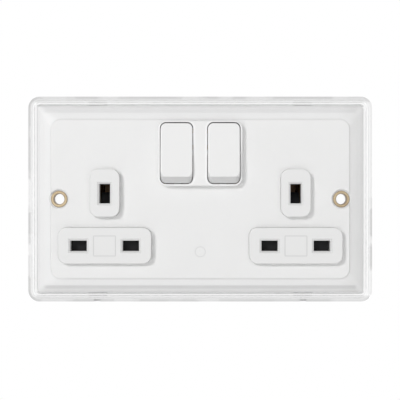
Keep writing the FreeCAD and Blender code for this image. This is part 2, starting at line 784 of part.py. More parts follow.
def rocker(name, side):
    """A hollow rocker on two trunnions, with a stem for its two plungers, drawn round its pivot."""
    body = new_body(name)
    add(body, "x", "-rocker_width / 2", "rocker_width / 2", disc("0", "0", "2 * rocker_end_radius"))
    beyond = "2 * rocker_end_radius"
    across = together(
        rectangle(f"-{beyond}", "-rocker_face", f"-{beyond}", beyond),
        rectangle("rocker_skirt", beyond, f"-{beyond}", beyond),
    )
    cut(body, "x", "-rocker_width", "rocker_width", across)
    face_end = "sqrt(rocker_end_radius ^ 2 - rocker_face ^ 2)"
    foot_top = f"-({face_end} - 2 * rocker_foot_height)"
    foot_low = f"-({face_end} + rocker_foot_height)"
    foot = polygon([
        ("-(rocker_face + rocker_foot_depth)", foot_top),
        ("-(rocker_face + rocker_foot_depth)", foot_low),
        ("-rocker_face + 2 * rocker_foot_depth", foot_low),
    ])
    cut(body, "x", "-rocker_width", "rocker_width", foot)
    side_place = value_of("rocker_width / 2")

    def at_corner(edge):
        box = edge.BoundBox
        return abs(abs(box.Center.x) - side_place) < 0.01 and box.XLength < 0.01 and box.ZLength < 4
    round_edges(body, "rocker_corner", at_corner)
    face_level = -value_of("rocker_face")
    round_edges(body, "rocker_edge_round", lambda edge: lies_at(edge, "y", face_level))
    inner_end = "(rocker_end_radius - rocker_wall - rib_setback)"
    hollow = rounded(
        "-(rocker_width / 2 - rocker_wall)", "rocker_width / 2 - rocker_wall",
        f"-{inner_end}", inner_end, "rocker_corner - rocker_wall",
    )
    cut(body, "y", "-(rocker_face - rocker_wall)", "rocker_skirt", hollow)
    stem = rectangle(
        "-stem_width / 2", "stem_width / 2", "-stem_thickness / 2", "stem_thickness / 2"
    )
    add(body, "y", "-(rocker_face - rocker_wall)", "stem_reach", stem)
    trunnion_reach = "(rocker_width / 2 + trunnion_length)"
    add(body, "x", f"-{trunnion_reach}", trunnion_reach, disc("0", "0", "trunnion_diameter"))
    bores = [
        disc(f"{way} * plunger_pitch / 2", "0", "plunger_diameter + 2 * plunger_bore_gap")
        for way in SIDES.values()
    ]
    cut(body, "y", "plunger_bore_base", "stem_reach", together(*bores))
    placed(body, f"{side} * rocker_pitch / 2", "-pivot_depth", "rocker_rise", "-rocker_tilt")
    return body


def plungers(name, side):
    """The two round-nosed plungers that the rocker carries."""
    body = new_body(name)
    start = "(plunger_reach - plunger_length)"
    nose = "(plunger_diameter / 2)"
    stems = [
        disc(f"{way} * plunger_pitch / 2", "0", "plunger_diameter") for way in SIDES.values()
    ]
    add(body, "y", start, "plunger_reach", together(*stems))
    tip = value_of("plunger_reach")
    round_edges(body, f"{nose} * 0.98", lambda edge: lies_at(edge, "y", tip))
    placed(body, f"{side} * rocker_pitch / 2", "-pivot_depth", "rocker_rise", "-rocker_tilt")
    return body


def plunger_springs(name, side):
    """The two springs behind the plungers, in the bores of the rocker's stem."""
    length = value_of("plunger_reach - plunger_length - plunger_bore_base")
    springs = []
    for way in SIDES.values():
        tilt = FreeCAD.Placement(
            FreeCAD.Vector(
                value_of(f"{side} * rocker_pitch / 2"), value_of("-pivot_depth"), value_of("rocker_rise")
            ),
            FreeCAD.Rotation(FreeCAD.Vector(1, 0, 0), value_of("-rocker_tilt")),
        )
        seat = FreeCAD.Placement(
            FreeCAD.Vector(
                value_of(f"{way} * plunger_pitch / 2"), value_of("plunger_bore_base"), 0
            ),
            FreeCAD.Rotation(FreeCAD.Vector(1, 0, 0), -90),
        )
        wire = value_of("plunger_spring_wire")
        radius = value_of("plunger_diameter / 2 - plunger_spring_wire / 2 - plunger_bore_gap")
        spring = coil(
            f"{name}_{way + 2}", radius, wire, length, value_of("plunger_spring_turns"),
            tilt.multiply(seat),
        )
        springs.append(spring)
    return group(name, springs)


def group(name, members):
    """Several separate solids that share one named piece."""
    joined = doc.addObject("Part::Compound", name)
    joined.Label = name
    joined.Links = members
    doc.recompute()
    return joined


def contact_arms(name, side):
    """The two rocking contact arms under one rocker, with their bead on the pivot line."""
    body = new_body(name)
    half = "(arm_thickness / 2)"
    for way in SIDES.values():
        left, right = centred(f"{way} * plunger_pitch / 2", "arm_width")
        add(body, "x", left, right, rectangle(f"-{half}", half, "-arm_half_length", "arm_half_length"))
        crown = polygon([
            (f"-{half}", "-0.5"), (f"{half}", "-0.7"), ("bead_radius * 0.86", "-bead_radius * 0.5"),
            ("bead_radius", "0"), ("bead_radius * 0.86", "bead_radius * 0.5"), (f"{half}", "0.7"),
            (f"-{half}", "0.5"),
        ])
        add(body, "x", left, right, crown)
    placed(body, f"{side} * rocker_pitch / 2", "arm_depth", "rocker_rise", "arm_tilt")
    return body


def moving_tips(name, side):
    """The domed silver contacts on the two arms of one rocker."""
    body = new_body(name)
    base = "(arm_thickness / 2)"
    rim = "(tip_height - tip_dome + sqrt(tip_dome ^ 2 - tip_radius ^ 2))"
    for way in SIDES.values():
        across = f"{way} * plunger_pitch / 2"
        turn(body, (across, "tip_offset"), base, [
            ("0", "0"), ("tip_radius", "0"), ("tip_radius", rim), ("tip_radius * 0.5", "tip_height - 0.08"),
            ("0", "tip_height"),
        ])
    placed(body, f"{side} * rocker_pitch / 2", "arm_depth", "rocker_rise", "arm_tilt")
    return body


def fixed_tips(name):
    """The four silver contacts on the live and neutral bars."""
    body = new_body(name)
    outlines = [
        disc(f"{side} * {across}", closed_tip_rise, "2 * tip_radius")
        for side in SIDES.values() for across in (inner_arm, outer_arm)
    ]
    add(body, "y", fixed_tip_front, bar_front, together(*outlines))
    return body


def jaws(middle, mouth, base_front, base_rear):
    """The outline of a springy pair of jaws that opens forward, as (across, along) pairs."""
    gap = "jaw_gap / 2"
    outer = f"({gap} + jaw_thickness)"
    throat = f"({mouth} + jaw_flare_length)"
    return [
        (f"{middle} - {outer}", base_rear), (f"{middle} + {outer}", base_rear),
        (f"{middle} + {outer}", throat), (f"{middle} + {outer} + jaw_flare", mouth),
        (f"{middle} + {gap} + jaw_flare", mouth), (f"{middle} + {gap}", throat),
        (f"{middle} + {gap}", base_front), (f"{middle} - {gap}", base_front),
        (f"{middle} - {gap}", throat), (f"{middle} - {gap} - jaw_flare", mouth),
        (f"{middle} - {outer} - jaw_flare", mouth), (f"{middle} - {outer}", throat),
    ]


def contact_strip(name, side, arm_place, run_top, drop_place, pin_place):
    """A stamped brass strip: saddle for the arm, run to the side and jaws behind the pin opening."""
    body = new_body(name)
    top = "(rocker_rise + saddle_half_height)"
    run_low = f"({run_top} - strip_width)"
    pin_top = "(-pin_row_drop + jaw_gap / 2 + jaw_thickness)"
    arm_left = f"({arm_place} - arm_width / 2)"
    arm_right = f"({arm_place} + arm_width / 2)"
    drop_left = f"({drop_place} - strip_width / 2)"
    drop_right = f"({drop_place} + strip_width / 2)"
    corners = [
        (arm_left, top), (arm_left, run_low), (drop_left, run_low), (drop_left, f"{pin_top} - 1"),
        (drop_right, f"{pin_top} - 1"), (drop_right, run_top), (arm_right, run_top), (arm_right, top),
    ]
    if side == LEFT:
        corners = [(f"-{across}", up) for across, up in reversed(corners)]
    add(body, "y", strip_front, "strip_rear", polygon(corners))
    left, right = span(side, arm_left, arm_right)
    saddle = rectangle("saddle_front", "strip_rear", "rocker_rise - saddle_half_height", top)
    add(body, "x", left, right, saddle)
    cut(body, "x", left, right, disc("arm_depth", "rocker_rise", "2 * (bead_radius + snug_gap)"))
    left, right = centred(f"{side} * {pin_place}", "pin_jaw_width")
    pair = jaws("-pin_row_drop", "pin_jaw_front", strip_front, "strip_rear")
    outline = [(along, across) for across, along in pair]
    add(body, "x", left, right, polygon(outline))
    return body


def pole_bar(name, fingers, leg_side, top, height, finger_end):
    """A live or neutral bar: fingers that carry the fixed contacts and a leg down to the terminal."""
    body = new_body(name)
    low = f"({top} - {height})"
    far_finger = fingers[0] if leg_side == RIGHT else fingers[-1]
    inner_end = f"({far_finger} - {leg_side} * arm_width / 2)"
    ends = (inner_end, "leg_place") if leg_side == RIGHT else ("-leg_place", inner_end)
    add(body, "y", bar_front, bar_back, rectangle(*ends, low, top))
    for across in fingers:
        left, right = centred(across, "arm_width")
        finger_low, finger_high = (low, finger_end) if leg_side == RIGHT else (finger_end, top)
        add(body, "y", bar_front, bar_back, rectangle(left, right, finger_low, finger_high))
    left, right = span(leg_side, "leg_place - strip_thickness", "leg_place")
    add(body, "y", bar_front, "leg_rear", rectangle(left, right, low, top))
    left, right = span(leg_side, "leg_place - leg_width", "leg_place")
    add(body, "y", "leg_rear - strip_thickness", "leg_rear", rectangle(left, right, "terminal_top", top))
    return body


def earth_clip(name, side):
    """The folded jaws that grip the earth pin."""
    body = new_body(name)
    middle = f"{side} * {socket_place}"
    base_rear = "(earth_strap_rear - strip_thickness)"
    base_front = f"({base_rear} - strip_thickness)"
    outline = jaws(middle, "earth_jaw_front", base_front, base_rear)
    low, high = centred("earth_rise", "earth_jaw_height")
    add(body, "z", low, high, polygon(outline))
    return body


def earth_strap():
    """One folded strap that joins both earth clips, both eyelets and the two earth terminals."""
    body = new_body("earth_strap")
    front = "(earth_strap_rear - strip_thickness)"
    low, high = centred("earth_rise", "earth_strap_height")
    add(body, "y", front, "earth_strap_rear", rectangle("-earth_strap_fold", "earth_strap_fold", low, high))
    legs = []
    for side in SIDES.values():
        left, right = centred(f"{side} * earth_leg_place", "earth_leg_width")
        legs.append(rectangle(left, right, "terminal_top", high))
    add(body, "y", front, "earth_strap_rear", together(*legs))
    ring_front = "-(eyelet_boss_rear)"
    ring_rear = "-(eyelet_boss_rear - strip_thickness)"
    for side in SIDES.values():
        left, right = span(side, "earth_strap_fold - strip_thickness", "earth_strap_fold")
        add(body, "y", ring_front, "earth_strap_rear", rectangle(left, right, low, high))
        left, right = span(side, "earth_strap_fold - strip_thickness", fixing_place)
        add(body, "y", ring_front, ring_rear, rectangle(left, right, low, high))
        across = f"{side} * {fixing_place}"
        add(body, "y", ring_front, ring_rear, disc(across, "0", "earth_ring_width"))
        cut(body, "y", ring_front, ring_rear, disc(across, "0", "eyelet_tube + 2 * snug_gap"))
    return body


def terminal(name, across):
    """A brass block with a hole for the wires and a threaded hole for the clamp screw."""
    body = new_body(name)
    left, right = centred(across, "terminal_width")
    add(
        body, "y", "terminal_front", "terminal_rear",
        rectangle(left, right, "terminal_bottom", "terminal_top"),
    )
    bevel_edges(body, "strip_thickness / 2", lambda edge: runs_along(edge, "z"))
    left, right = centred(across, "wire_hole")
    low, high = centred("wire_hole_depth", "wire_hole")
    cut(body, "z", "terminal_bottom", "terminal_top", rounded(left, right, low, high, "wire_hole_corner"))
    middle = "(terminal_top + terminal_bottom) / 2"
    cut(
        body, "y", "wire_hole_depth", "terminal_rear",
        disc(across, middle, "screw_shank + 2 * snug_gap"),
    )
    return body


def clamp_screw(name, across):
    """A slotted screw that reaches into the terminal from behind."""
    body = new_body(name)
    middle = "(terminal_top + terminal_bottom) / 2"
    head_front = "(terminal_rear + screw_head_gap)"
    head_rear = f"({head_front} + screw_head_height)"
    tip = "(terminal_rear - screw_reach)"
    add(body, "y", tip, head_front, disc(across, middle, "screw_shank"))
    add(body, "y", head_front, head_rear, disc(across, middle, "screw_head"))
    tip_place = value_of(tip)
    bevel_edges(body, "screw_shank / 6", lambda edge: lies_at(edge, "y", tip_place))
    left, right = centred(across, "screw_slot")
    low, high = centred(middle, "screw_head + 1")
    cut(body, "y", f"{head_rear} - screw_slot", f"{head_rear}", rectangle(left, right, low, high))
    return body


def shutter(name, side):
    """The sliding shutter: two blades, an arm and the ramp that the earth pin pushes down."""
    body = new_body(name)
    middle = f"{side} * {socket_place}"
    rear = "-(shutter_front - shutter_thickness)"
    half = "(pin_pitch / 2 + slot_width / 2 + shutter_margin)"
    blade_top = "(-pin_row_drop + slot_height / 2 + shutter_margin)"
    blade_foot = "(-pin_row_drop - slot_height / 2 - shutter_foot)"
    arm = "(shutter_arm_width / 2)"
    outline = polygon([
        (f"{middle} - {half}", blade_foot), (f"{middle} + {half}", blade_foot),
        (f"{middle} + {half}", blade_top), (f"{middle} + {arm}", blade_top),
        (f"{middle} + {arm}", ramp_low), (f"{middle} - {arm}", ramp_low),
        (f"{middle} - {arm}", blade_top), (f"{middle} - {half}", blade_top),
    ])
    add(body, "y", "-shutter_front", rear, outline)
    left, right = centred(middle, "ramp_width")
    rise = "(ramp_front + ramp_rear)"
    ramp = polygon([
        ("-ramp_front", f"{ramp_low} - ramp_foot"), ("ramp_rear", f"{ramp_low} - ramp_foot / 2"),
        ("ramp_rear", f"{ramp_low} + {rise}"), ("-ramp_front", ramp_low),
    ])
    add(body, "x", left, right, ramp)
    return body


def shutter_spring(name, side):
    """The spring that holds the shutter up."""
    foot = "(-pin_row_drop - slot_height / 2 - shutter_foot)"
    middle_depth = "-(shutter_front - shutter_spring_diameter / 2)"
    place = FreeCAD.Placement(
        FreeCAD.Vector(
            value_of(f"{side} * {socket_place}"), value_of(middle_depth), value_of("spring_ledge")
        ),
        FreeCAD.Rotation(),
    )
    radius = value_of("shutter_spring_diameter / 2 - shutter_spring_wire / 2")
    wire = value_of("shutter_spring_wire")
    return coil(
        name, radius, wire, value_of(f"{foot} - spring_ledge"), value_of("shutter_spring_turns"), place
    )


def rear_housing():
    """The housing behind the base, with chambers for the switches, strips, clips and terminals."""
    body = new_body("rear_housing")
    tower = "housing_tower_width / 2"
    waist = "housing_middle_width / 2"
    foot = "housing_foot_width / 2"
    outline = polygon([
        (f"-{tower}", "housing_top"), (f"-{tower}", "housing_step"), (f"-{waist}", "housing_step"),
        (f"-{waist}", "housing_waist"), (f"-{foot}", "housing_waist"), (f"-{foot}", "housing_bottom"),
        (foot, "housing_bottom"), (foot, "housing_waist"), (waist, "housing_waist"),
        (waist, "housing_step"), (tower, "housing_step"), (tower, "housing_top"),
    ])
    add(body, "y", "0", "housing_rear", outline)
    depth = value_of("housing_rear")
    round_edges(
        body, "housing_corner * 0.7",
        lambda edge: runs_along(edge, "y") and abs(edge.Length - depth) < 0.01,
    )
    gap = "pocket_gap"
    cut(
        body, "y", "0", "leg_rear",
        rectangle("-chamber_half_width", "chamber_half_width", "chamber_bottom", "chamber_top"),
    )
    compartments = []
    entries = []
    head_holes = []
    for side in SIDES.values():
        for place in ("earth_terminal_place", "power_terminal_place"):
            left, right = centred(f"{side} * {place}", f"terminal_width + 2 * {gap}")
            compartments.append(rectangle(left, right, f"terminal_bottom - {gap}", "chamber_bottom"))
            left, right = centred(f"{side} * {place}", "wire_entry")
            low, high = centred("wire_hole_depth", "wire_entry")
            entries.append(rectangle(left, right, low, high))
            middle = "(terminal_top + terminal_bottom) / 2"
            head_holes.append(disc(f"{side} * {place}", middle, "screw_hole_head"))
    cut(body, "y", "0", "terminal_rear", together(*compartments))
    cut(body, "z", "housing_bottom", f"terminal_bottom - {gap}", together(*entries))
    cut(body, "y", "terminal_rear", "housing_rear", together(*head_holes))
    run_outer_low = f"(outer_run_top - strip_width - {gap})"
    run_inner_low = f"(inner_run_top - strip_width - {gap})"
    pin_low = "(-pin_row_drop - jaw_gap / 2 - jaw_thickness - jaw_flare - joint_overlap)"
    pin_high = "(-pin_row_drop + jaw_gap / 2 + jaw_thickness + jaw_flare + joint_overlap)"
    strap_low = f"(earth_rise - earth_strap_height / 2 - {gap})"
    strap_high = f"(earth_rise + earth_strap_height / 2 + {gap})"
    for side in SIDES.values():
        left, right = span(side, "chamber_half_width - 1", f"outer_drop_place + strip_width / 2 + {gap}")
        cut(body, "y", "0", "strip_rear", rectangle(left, right, run_outer_low, f"outer_run_top + {gap}"))
        left, right = span(side, "chamber_half_width - 1", f"{inner_pin} + strip_width / 2 + {gap}")
        cut(body, "y", "0", "strip_rear", rectangle(left, right, run_inner_low, f"inner_run_top + {gap}"))
        drops = []
        for place in (inner_pin, "outer_drop_place"):
            left, right = span(
                side, f"{place} - strip_width / 2 - {gap}", f"{place} + strip_width / 2 + {gap}"
            )
            drops.append(rectangle(left, right, f"{pin_high} - 1", run_inner_low))
        cut(body, "y", "0", "strip_rear", drops[0])
        left, right = span(
            side,
            f"outer_drop_place - strip_width / 2 - {gap}",
            f"outer_drop_place + strip_width / 2 + {gap}",
        )
        cut(body, "y", "0", "strip_rear", rectangle(left, right, f"{pin_high} - 1", run_outer_low))
        for place in (inner_pin, outer_pin):
            left, right = span(
                side, f"{place} - pin_jaw_width / 2 - {gap}", f"{place} + pin_jaw_width / 2 + {gap}"
            )
            cut(body, "y", "0", "strip_rear", rectangle(left, right, pin_low, pin_high))
        reach = f"(jaw_gap / 2 + jaw_thickness + jaw_flare + {gap})"
        left, right = centred(f"{side} * {socket_place}", f"2 * {reach}")
        low, high = centred("earth_rise", f"earth_jaw_height + 2 * {gap}")
        cut(body, "y", "0", "earth_strap_rear - strip_thickness", rectangle(left, right, low, high))
        left, right = centred(f"{side} * {socket_place}", f"ramp_width + 4 * {gap}")
        ramp_foot = f"({ramp_low} - ramp_foot - shutter_travel - 2 * {gap})"
        cut(body, "y", "0", f"ramp_rear + 2 * {gap}", rectangle(left, right, ramp_foot, low))
        left, right = centred(f"{side} * earth_leg_place", f"earth_leg_width + 2 * {gap}")
        cut(
            body, "y", "leg_rear - 1", "earth_strap_rear",
            rectangle(left, right, f"terminal_top - {gap}", strap_low),
        )
        left, right = span(
            side, f"earth_strap_fold - strip_thickness - {gap}", f"earth_strap_fold + {gap}"
        )
        cut(body, "y", "0", "earth_strap_rear", rectangle(left, right, strap_low, strap_high))
    cut(
        body, "y", "earth_strap_rear - strip_thickness - 3", "earth_strap_rear",
        rectangle(f"-earth_strap_fold - {gap}", f"earth_strap_fold + {gap}", strap_low, strap_high),
    )
    ribs = []
    for side in SIDES.values():
        for place, run_top in ((inner_arm, "inner_run_top"), (outer_arm, "outer_run_top")):
            left, right = centred(f"{side} * {place}", "rib_width")
            ribs.append(rectangle(left, right, f"{run_top} - strip_width", f"{strap_low} - rib_gap"))
            ribs.append(rectangle(left, right, f"{strap_high} + rib_gap", "rocker_rise + saddle_half_height"))
    add(body, "y", "strip_rear", "leg_rear", together(*ribs))
    bar_ribs = []
    for side in SIDES.values():
        for place in (inner_arm, outer_arm):
            left, right = centred(f"{side} * {place}", "rib_width")
            bar_ribs.append(rectangle(left, right, "live_bar_top - live_bar_height", "chamber_top"))
    add(body, "y", bar_back, "leg_rear", together(*bar_ribs))
    dividers = []
    for side in SIDES.values():
        left, right = centred(f"{side} * rocker_pitch / 2", "rib_width * 0.8")
        rib_top = "live_bar_top - live_bar_height - rib_gap"
        dividers.append(rectangle(left, right, "rocker_rise - arm_half_length", rib_top))
    add(body, "y", "divider_front", "leg_rear", together(*dividers))
    screws = []
    heads = []
    for side in SIDES.values():
        for across, up in SCREW_PLACES:
            screws.append(disc(f"{side} * {across}", up, "housing_screw_hole"))
            heads.append(disc(f"{side} * {across}", up, "housing_screw_head + 2 * head_gap"))
    cut(body, "y", "0", "housing_rear", together(*screws))
    cut(body, "y", "housing_rear - housing_screw_head_height - rib_gap", "housing_rear", together(*heads))
    return body


def housing_screws():
    """The four long screws that hold the rear housing to the front moulding."""
    body = new_body("housing_screws")
    head_front = "(housing_rear - housing_screw_head_height - rib_gap)"
    head_rear = f"({head_front} + housing_screw_head_height)"
    shanks = []
    heads = []
    slots = []
    for side in SIDES.values():
        for across, up in SCREW_PLACES:
            place = f"{side} * {across}"
            shanks.append(disc(place, up, "housing_screw - 2 * snug_gap"))
            heads.append(disc(place, up, "housing_screw_head"))
            left, right = centred(place, "screw_slot")
            low, high = centred(up, "housing_screw_head + 1")
            slots.append(rectangle(left, right, low, high))
    add(body, "y", "-(hollow_depth - guide_gap)", head_front, together(*shanks))
    add(body, "y", head_front, head_rear, together(*heads))
    cut(body, "y", f"{head_rear} - screw_slot", head_rear, together(*slots))
    return body


pieces = [clear_cover(), front_moulding()]
for word, side in SIDES.items():
    pieces.append(pin_block(f"pin_block_{word}", side))
    pieces.append(fixing_eyelet(f"fixing_eyelet_{word}", side))
    pieces.append(rocker(f"rocker_{word}", side))
    pieces.append(plungers(f"plungers_{word}", side))
    pieces.append(plunger_springs(f"plunger_springs_{word}", side))
    pieces.append(contact_arms(f"contact_arms_{word}", side))
    pieces.append(moving_tips(f"moving_contacts_{word}", side))
    pieces.append(earth_clip(f"earth_clip_{word}", side))
    pieces.append(shutter(f"shutter_{word}", side))
    pieces.append(shutter_spring(f"shutter_spring_{word}", side))
outer = (outer_arm, "outer_run_top", "outer_drop_place", outer_pin)
inner = (inner_arm, "inner_run_top", inner_pin, inner_pin)
pieces.append(contact_strip("neutral_contact_left", LEFT, *outer))
pieces.append(contact_strip("live_contact_left", LEFT, *inner))
pieces.append(contact_strip("neutral_contact_right", RIGHT, *inner))
pieces.append(contact_strip("live_contact_right", RIGHT, *outer))
pieces.append(
    pole_bar(
        "neutral_bar", [f"-{outer_arm}", inner_arm], LEFT, "neutral_bar_top", "neutral_bar_height",
        f"{closed_tip_rise} - tip_radius",
    )
)
pieces.append(
    pole_bar(
        "live_bar", [f"-{inner_arm}", outer_arm], RIGHT, "live_bar_top", "live_bar_height",
        f"{closed_tip_rise} + tip_radius",
    )
)
pieces.append(fixed_tips("fixed_contacts"))
pieces.append(earth_strap())
TERMINALS = {
    "neutral": "-power_terminal_place",
    "earth_left": "-earth_terminal_place",
    "earth_right": "earth_terminal_place",
    "live": "power_terminal_place",
}
for word, across in TERMINALS.items():
    pieces.append(terminal(f"{word}_terminal", across))
    pieces.append(clamp_screw(f"{word}_clamp_screw", across))
pieces.append(rear_housing())
pieces.append(housing_screws())
doc.recompute()

for item in doc.Objects:
    if "Invalid" in item.State or "Error" in item.State:
        raise RuntimeError(f"{item.Name} failed: {item.State}")
os.makedirs("parts", exist_ok=True)
for piece in pieces:
    shape = piece.Shape
    if shape.isNull() or not shape.isValid() or not shape.Solids:
        raise RuntimeError(f"{piece.Label} has no sound shape")
    print(f"{piece.Label}: {len(shape.Solids)} solid(s), {shape.Volume:.1f} mm3")
for piece in pieces:
    piece.Shape.exportStep(f"parts/{piece.Label}.step")
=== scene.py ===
"""Finishes, screws, springs, light and camera for the twin wall socket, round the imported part."""

import json
import math
from typing import NamedTuple

import bmesh
import bpy
from mathutils import Matrix, Vector

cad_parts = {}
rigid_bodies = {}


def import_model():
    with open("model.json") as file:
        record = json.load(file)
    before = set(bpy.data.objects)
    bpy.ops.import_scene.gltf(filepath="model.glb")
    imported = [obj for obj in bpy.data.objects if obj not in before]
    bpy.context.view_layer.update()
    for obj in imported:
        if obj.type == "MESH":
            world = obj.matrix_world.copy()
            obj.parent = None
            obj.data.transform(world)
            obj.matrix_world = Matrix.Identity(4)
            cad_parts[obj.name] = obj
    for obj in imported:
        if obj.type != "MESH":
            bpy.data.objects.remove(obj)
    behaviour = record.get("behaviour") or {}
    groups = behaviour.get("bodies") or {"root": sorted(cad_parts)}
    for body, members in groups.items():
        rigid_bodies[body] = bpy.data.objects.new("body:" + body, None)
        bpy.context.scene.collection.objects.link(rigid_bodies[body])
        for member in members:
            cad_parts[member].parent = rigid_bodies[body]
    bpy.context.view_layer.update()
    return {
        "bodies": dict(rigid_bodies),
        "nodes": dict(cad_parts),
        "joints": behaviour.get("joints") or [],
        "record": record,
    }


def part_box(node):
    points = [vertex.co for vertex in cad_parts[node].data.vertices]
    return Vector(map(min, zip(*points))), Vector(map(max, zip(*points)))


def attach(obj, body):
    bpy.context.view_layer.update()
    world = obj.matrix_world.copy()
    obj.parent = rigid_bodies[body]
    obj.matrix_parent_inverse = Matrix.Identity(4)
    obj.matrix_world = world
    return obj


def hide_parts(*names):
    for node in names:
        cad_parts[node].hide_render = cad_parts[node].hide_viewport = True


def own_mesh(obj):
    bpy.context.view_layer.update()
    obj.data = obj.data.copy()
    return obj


PICTURE_WIDTH = 0.1711
SUBJECT_DEPTH = -0.0047
CAMERA_DISTANCE = 0.55
SENSOR_WIDTH = 36.0
AIM = Vector((-0.0001, SUBJECT_DEPTH, -0.0004))
FLOOR_LEVEL = -0.4
FLOOR_RADIUS = 0.8
FLOOR_SIDES = 96
RIM_ACROSS = 0.0712
RIM_UP = 0.0411
RIM_FADE = 0.0006
COVER_ACROSS = 0.0735
COVER_UP = 0.0438
COVER_CORNER = 0.0048
SKIN_START = -0.0013
SKIN_END = -0.0009
SEAM_ACROSS = 0.0701
SEAM_UP = 0.0402
SEAM_CORNER = 0.002
BASE_ACROSS = 0.07
BASE_UP = 0.04
BASE_CORNER = 0.0015
BASE_EDGE_SHADE_WIDTH = 0.0003
PLATEAU_ACROSS = 0.06375
PLATEAU_UP = 0.034
PLATEAU_CORNER = 0.0042
PLATEAU_RISE = 0.0004
EYELET_PLACE = (0.0603, 0.0)
PANEL_PLACE = (0.0406, -0.0199)
PANEL_ACROSS = 0.00465
PANEL_UP = 0.00425
PANEL_CORNER = 0.0003
GATE_PLACE = (0.0, -0.0225)
GATE_RADIUS = 0.00215
GROOVE_SHADE_WIDTH = 0.0005
FOOT_SHADE_TOP = 0.0096
FOOT_SHADE_FADE = 0.0003
FOLD_SHADE_UP = 0.0377
FOLD_SHADE_END = 0.066
FOLD_SHADE_FADE = 0.0015
FOLD_SHADE_WIDTH = 0.0019
WELL_PLACE = (0.01005, 0.0195)
WELL_ACROSS = 0.00708
WELL_UP = 0.0132
WELL_CORNER = 0.0027
WELL_HIGHLIGHT_WIDTH = 0.001
EYELET_BORE = 0.00225
EYELET_RADIUS = 0.00355
FRONT_GLOW = 1.125
DIAGONAL_GLOW = 0.44
SIDE_GLOW = 0.9
BELOW_GLOW = 0.6
LEFT_SHADE = 0.5
ABOVE_SHADE = 0.3
RIGHT_SHADE = 0.28
RIM_BODY = 0.72
THREAD_PITCH = 0.0007
THREAD_ROOT = 0.82
SHANK_TIP = 0.6
SCREW_SIDES = 48
SLOT_WIDTH = 0.0008
SLOT_DEPTH = 0.0009
HEAD_ROUND = 0.0002
TOUCHING = 0.0000005
CLAMP_SHANK = 0.0035
CLAMP_HEAD = 0.0056
CLAMP_HEAD_HEIGHT = 0.0016
CLAMP_SCREW_LEANS = {
    "neutral_clamp_screw": 0.5,
    "earth_left_clamp_screw": -0.9,
    "earth_right_clamp_screw": 0.15,
    "live_clamp_screw": -0.35,
}
WIRE_SIDES = 10
STEPS_A_TURN = 24
SOCKET_PLACE = 0.0406
SHUTTER_SPRING_DEPTH = -0.002
SHUTTER_SPRING_FOOT = -0.03115
ROCKER_PLACE = 0.01005
ROCKER_PIVOT = (-0.0074, 0.0195)
PLUNGER_PLACE = 0.0032
PLUNGER_DIRECTION = Vector((0.0, 0.994522, -0.104528))
PLUNGER_SPRING_START = 0.00225
HOUSING_SHANK = 0.0025
HOUSING_HEAD = 0.0048
HOUSING_HEAD_HEIGHT = 0.0014
HOUSING_SCREW_PLACES = (
    (-0.0228, -0.0265, 0.7),
    (0.0228, -0.0265, -0.4),
    (-0.025, 0.0085, -1.1),
    (0.025, 0.0085, 0.25),
)
KEY_POWER = 20.5
KEY_PLACE = Vector((-1.1, -2.1, 0.75))
KEY_SIZE = 0.4


class SpringSize(NamedTuple):
    """A compression spring's measures, and how far its joint squeezes it."""

    radius: float
    wire: float
    length: float
    turns: float
    travel: float


SHUTTER_SPRING = SpringSize(radius=0.001025, wire=0.00035, length=0.0077, turns=6.0, travel=0.0054)
PLUNGER_SPRING = SpringSize(radius=0.0012, wire=0.0004, length=0.00455, turns=4.0, travel=0.0006)


class Varying:
    """A number that changes over a surface, written in plain sums."""

    def __init__(self, finish, socket):
        self.finish = finish
        self.socket = socket

    def __add__(self, other):
        return self.finish.sum("ADD", self, other)

    def __radd__(self, other):
        return self.finish.sum("ADD", other, self)

    def __sub__(self, other):
        return self.finish.sum("SUBTRACT", self, other)

    def __rsub__(self, other):
        return self.finish.sum("SUBTRACT", other, self)

    def __mul__(self, other):
        return self.finish.sum("MULTIPLY", self, other)

    def __rmul__(self, other):
        return self.finish.sum("MULTIPLY", other, self)


